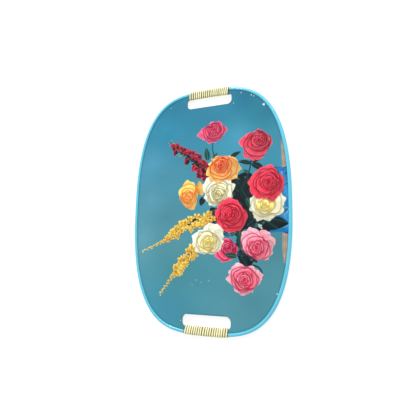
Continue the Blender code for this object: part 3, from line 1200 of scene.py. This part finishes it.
def lattice_patch(across, along, radius):
    """A small round patch of fine grid points."""
    steps = np.arange(-radius, radius, PATCH_SPACING)
    a, b = np.meshgrid(steps, steps)
    keep = np.hypot(a, b) < radius
    return np.stack([across + a[keep], along + b[keep]], 1)


def rim_section():
    """The moulding's section: a round bead with a groove and blunt lips."""
    lip = math.acos(-LIP_REACH / BEAD_RADIUS)
    bead = [toward(angle, BEAD_RADIUS) for angle in np.linspace(lip, -lip, BEAD_POINTS)]
    blunt_height = BEAD_RADIUS * math.sin(lip) - 2 * LIP_BLUNTNESS
    groove = (
        (-LIP_REACH - LIP_BLUNTNESS, -blunt_height),
        (-LIP_REACH, -GROOVE_HALF_HEIGHT),
        (GROOVE_BOTTOM, -GROOVE_HALF_HEIGHT),
        (GROOVE_BOTTOM, GROOVE_HALF_HEIGHT),
        (-LIP_REACH, GROOVE_HALF_HEIGHT),
        (-LIP_REACH - LIP_BLUNTNESS, blunt_height),
    )
    return np.vstack([bead, groove])


def rim_moulding(material):
    """The bead round the panel's edge, with its two ends butted under the -X cane."""
    path, out = inset_outline(BEAD_RADIUS, RIM_POINTS, SEAM_GAP)
    section = rim_section()
    rng = np.random.default_rng(5)
    phase = rng.uniform(0, PHASE_RANGE, 4)
    turn = np.linspace(0, WHOLE_TURN, RIM_POINTS)
    wave = RIM_WAVE * (np.sin(turn * 9 + phase[0]) + 0.6 * np.sin(turn * 23 + phase[1]))
    shrink = 1 - 0.012 * np.abs(np.sin(turn * 7 + phase[2]))
    # Painted shade: the lips' inner edges are darker where the rim meets the print.
    is_lip = section[:, 0] < -0.5 * LIP_REACH
    lip_shade_share = 0.6 * ease(-0.8 * LIP_REACH, -1.02 * LIP_REACH, section[:, 0])
    shade = mix(rgb(100, 200, 225), rgb(72, 162, 186), lip_shade_share)
    # Painted shade: the rim turns dark olive under the cane windings.
    cane_end = WINDING_LENGTH / 2
    shade_under_cane = ease(cane_end + 1.5 * MM, cane_end - 0.5 * MM, np.abs(path[:, 1]))
    shade_under_cane *= np.abs(path[:, 0]) > SLOT_INNER_X
    rings = []
    tints = []
    for k in range(RIM_POINTS):
        reach = section[:, 0] * shrink[k] + is_lip * (wave[k] - RIM_WAVE)
        place = path[k] + out[k] * reach[:, None]
        rings.append(np.column_stack([place, MID_HEIGHT + section[:, 1]]))
        tints.append(mix(shade, rgb(86, 96, 74), shade_under_cane[k]))
    piece = swept("rim_bead", rings, material)
    set_tint(piece, np.vstack(tints))
    piece.data.set_sharp_from_angle(angle=math.radians(40))
    seat(piece, "rim_plastic", "rim_moulding")


def wrap_loop():
    """One taut turn round the bar's section, evenly spaced: places and outward directions."""
    half_panel = TOP_HIGH.z - MID_HEIGHT
    nose_out = BEAD_RADIUS - BAR_DEPTH + NOSE_DEPTH
    bead_wrap = BEAD_RADIUS + CANE_SLACK + CANE_THICKNESS / 2
    nose_wrap = math.hypot(NOSE_DEPTH, half_panel) + CANE_SLACK + CANE_THICKNESS / 2
    turn = np.linspace(0, WHOLE_TURN, WRAP_SAMPLES) - math.radians(135)
    facing = np.stack([np.cos(turn), np.sin(turn)], 1)
    on_nose = nose_out * facing[:, 0] + nose_wrap > bead_wrap
    middle = facing * np.where(on_nose, nose_wrap, bead_wrap)[:, None]
    middle[:, 0] += np.where(on_nose, nose_out, 0.0)
    along = along_line(middle)
    stops = np.linspace(0, along[-1], POINTS_PER_TURN, endpoint=False)
    return resample(middle, along, stops), resample(facing, along, stops)


def cane_spacing(rng, turns):
    """Where along the bar each turn of the cane lies, with four slightly wider gaps."""
    pitch = rng.uniform(0.90, 1.06, WINDING_TURNS)
    pitch[rng.choice(WINDING_TURNS, 4, replace=False)] += 0.16
    joints = np.concatenate([[0.0], np.cumsum(pitch)])
    joints = (joints / joints[-1] - 0.5) * WINDING_LENGTH
    return np.interp(turns, np.arange(WINDING_TURNS + 1), joints)


def cane_winding(name, node, side, seed, material):
    """One continuous strip of flat cane wound round the bar outside a slot."""
    rng = np.random.default_rng(seed)
    steps = WINDING_TURNS * POINTS_PER_TURN
    turns = np.linspace(0, WINDING_TURNS, steps + 1)
    edge, normal = end_outline(cane_spacing(rng, turns))
    sideways = np.stack([-normal[:, 1], normal[:, 0]], 1)
    middle, facing = (np.resize(once, (steps + 1, 2)) for once in wrap_loop())
    slack = 0.05 * MM * np.sin(turns * 2.1 + rng.uniform(0, PHASE_RANGE))
    width = CANE_WIDTH / 2 * (1 + 0.03 * np.sin(turns * 1.7 + seed))
    angles = np.linspace(0, WHOLE_TURN, CANE_SECTION_POINTS, endpoint=False)
    across = np.sign(np.cos(angles)) * np.abs(np.cos(angles)) ** 0.9
    thick = np.sign(np.sin(angles)) * np.abs(np.sin(angles)) ** 0.9 * CANE_THICKNESS / 2
    rings = []
    tints = []
    for k in range(steps + 1):
        taper = 0.5 + 0.5 * min(min(k, steps - k) / (POINTS_PER_TURN * 0.2), 1.0)
        out, up = middle[k, :, None] + facing[k, :, None] * (thick + slack[k])
        along = across * width[k] * taper
        place = edge[k] + np.outer(out - BEAD_RADIUS, normal[k]) + np.outer(along, sideways[k])
        rings.append(np.column_stack([side * place, MID_HEIGHT + up]))
        # Painted shade and light on the cane: darker at the strip's edges and on the sides that face away
        # from the outside, lighter facing out, with a painted highlight along the strip's middle.
        side_shade = mix(rgb(112, 92, 50), rgb(198, 182, 116), ease(0.1, 0.8, facing[k, 0]))
        colour = mix(side_shade, rgb(246, 239, 178), ease(1.0, 0.5, np.abs(across)))
        colour = mix(colour, rgb(255, 253, 214), 0.8 * ease(0.6, 0.1, np.abs(across)))
        tints.append(colour * (1 + 0.035 * math.sin(turns[k] * 5.3 + seed)))
    piece = swept(name, rings, material)
    set_tint(piece, np.vstack(tints))
    seat(piece, "cane_plastic", node)


def build_pieces():
    """Every visible piece of the tray."""
    decor_sheet(print_material())
    low = BACK_HIGH.z + LAYER_GAP
    high = TOP_LOW.z - LAYER_GAP
    core, _ = panel_layer("hardboard_panel", low, high, board_material())
    seat(core, "hardboard", "board_core")
    back, _ = panel_layer("backing_paper", BACK_LOW.z, BACK_HIGH.z, backing_material())
    seat(back, "backing_sheet", "backing_sheet")
    rim_moulding(rim_material())
    cane = cane_material()
    cane_winding("cane_right", "handle_winding_right", 1, 11, cane)
    cane_winding("cane_left", "handle_winding_left", -1, 12, cane)


# ---- stage
def floor_material():
    """Pale, slightly glowing floor that takes soft shadows."""
    made = Nodes("floor")
    made.base(made.grey(made.spread(made.noise(3, detail=2), 0.30, 0.32)))
    made.fix("Roughness", 0.95)
    made.fix("Specular IOR Level", 0.1)
    made.fix("Emission Color", (1.0, 1.0, 1.0, 1.0))
    made.fix("Emission Strength", 0.78)
    return made.material


def add_light(name, size, energy, place):
    """A round light that faces the tray's middle."""
    light = bpy.data.lights.new(name, "AREA")
    light.shape = "DISK"
    light.size = size
    light.energy = energy
    lamp = bpy.data.objects.new(name, light)
    lamp.location = place
    lamp.rotation_euler = (-Vector(place)).to_track_quat("-Z", "Y").to_euler()
    bpy.context.scene.collection.objects.link(lamp)


def add_camera():
    """The photo's camera, above the tray and turned so that +X is up."""
    camera = bpy.data.cameras.new("camera")
    camera.lens = CAMERA_LENS
    camera.sensor_width = 36.0
    camera.clip_start = 0.01
    back = CAMERA_RIGHT.cross(CAMERA_UP)
    turn = Matrix((CAMERA_RIGHT, CAMERA_UP, back)).transposed().to_4x4()
    view = bpy.data.objects.new("camera", camera)
    view.matrix_world = Matrix.Translation(CAMERA_PLACE) @ turn
    bpy.context.scene.collection.objects.link(view)
    bpy.context.scene.camera = view


def stage():
    """Floor, even light all round, a key light beyond the +X end, a weak glint light, camera."""
    bpy.ops.mesh.primitive_plane_add(size=FLOOR_SIZE, location=(0.0, 0.0, FLOOR_HEIGHT))
    floor = bpy.context.object
    floor.name = "floor"
    floor.data.materials.append(floor_material())
    world = bpy.data.worlds.new("studio")
    world.use_nodes = True
    background = world.node_tree.nodes["Background"]
    background.inputs["Color"].default_value = (0.96, 0.98, 1.0, 1.0)
    background.inputs["Strength"].default_value = 0.66
    bpy.context.scene.world = world
    bpy.context.scene.view_settings.view_transform = "Standard"
    add_light("key", 1.2, 165.0, (3.8, 1.0, 3.4))
    add_light("glint", 0.35, 5.0, (1.2, -0.2, 1.6))
    add_camera()


build_pieces()
stage()
